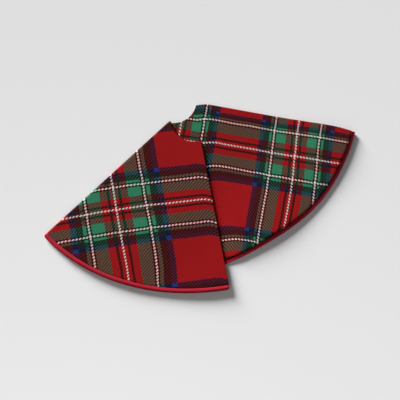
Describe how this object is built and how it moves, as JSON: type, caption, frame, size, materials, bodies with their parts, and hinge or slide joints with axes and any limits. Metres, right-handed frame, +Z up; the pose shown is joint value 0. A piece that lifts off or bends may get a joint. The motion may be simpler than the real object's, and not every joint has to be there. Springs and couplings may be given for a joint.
{
  "type": "tree skirt",
  "caption": "Round tartan Christmas tree skirt with lining and red rim piping, put away folded in half with its slit end turned over onto the top.",
  "frame": {"origin": "middle of the bounding box of the folded skirt, on the surface it lies on", "axes": "+Z up through the four leaves, +X along the folded skirt's length, +Y towards the trunk hole"},
  "size_m": [1.0284, 0.6582, 0.0165],
  "materials": {
    "tartan_cloth": "brushed wool-look twill in a red, green, navy, black and white tartan",
    "lining_cloth": "plain-woven matt lining",
    "facing_cloth": "plain-woven matt facing strip",
    "piping_cloth": "bias-cut twill, slight sheen",
    "cotton_cord": "twisted cotton filler cord"
  },
  "bodies": {
    "main_leaves": {"outer_half_main_face": "tartan_cloth", "outer_half_main_lining": "lining_cloth", "outer_half_main_hole_facing": "facing_cloth", "outer_half_main_piping_cover": "piping_cloth", "outer_half_main_piping_cord": "cotton_cord", "inner_half_main_face": "tartan_cloth", "inner_half_main_lining": "lining_cloth", "inner_half_main_hole_facing": "facing_cloth", "inner_half_main_piping_cover": "piping_cloth", "inner_half_main_piping_cord": "cotton_cord", "half_fold_lining": "lining_cloth", "half_fold_face": "tartan_cloth", "flap_fold_inner_face": "tartan_cloth", "flap_fold_inner_lining": "lining_cloth", "flap_fold_outer_lining": "lining_cloth", "flap_fold_outer_face": "tartan_cloth"},
    "flap": {"inner_half_flap_face": "tartan_cloth", "inner_half_flap_lining": "lining_cloth", "inner_half_flap_hole_facing": "facing_cloth", "inner_half_flap_piping_cover": "piping_cloth", "inner_half_flap_piping_cord": "cotton_cord", "inner_half_flap_slit_facing": "facing_cloth", "outer_half_flap_face": "tartan_cloth", "outer_half_flap_lining": "lining_cloth", "outer_half_flap_hole_facing": "facing_cloth", "outer_half_flap_piping_cover": "piping_cloth", "outer_half_flap_piping_cord": "cotton_cord", "outer_half_flap_slit_facing": "facing_cloth"}
  },
  "joints": [
    {"name": "flap_fold", "type": "hinge", "parent": "main_leaves", "child": "flap", "pos_m": [-0.06116, 0.3085, 0.00825], "axis": [-0.712, -0.7022, 0], "range_deg": [0, 180], "deforming": ["flap_fold_inner_face", "flap_fold_inner_lining", "flap_fold_outer_lining", "flap_fold_outer_face"]}
  ]
}
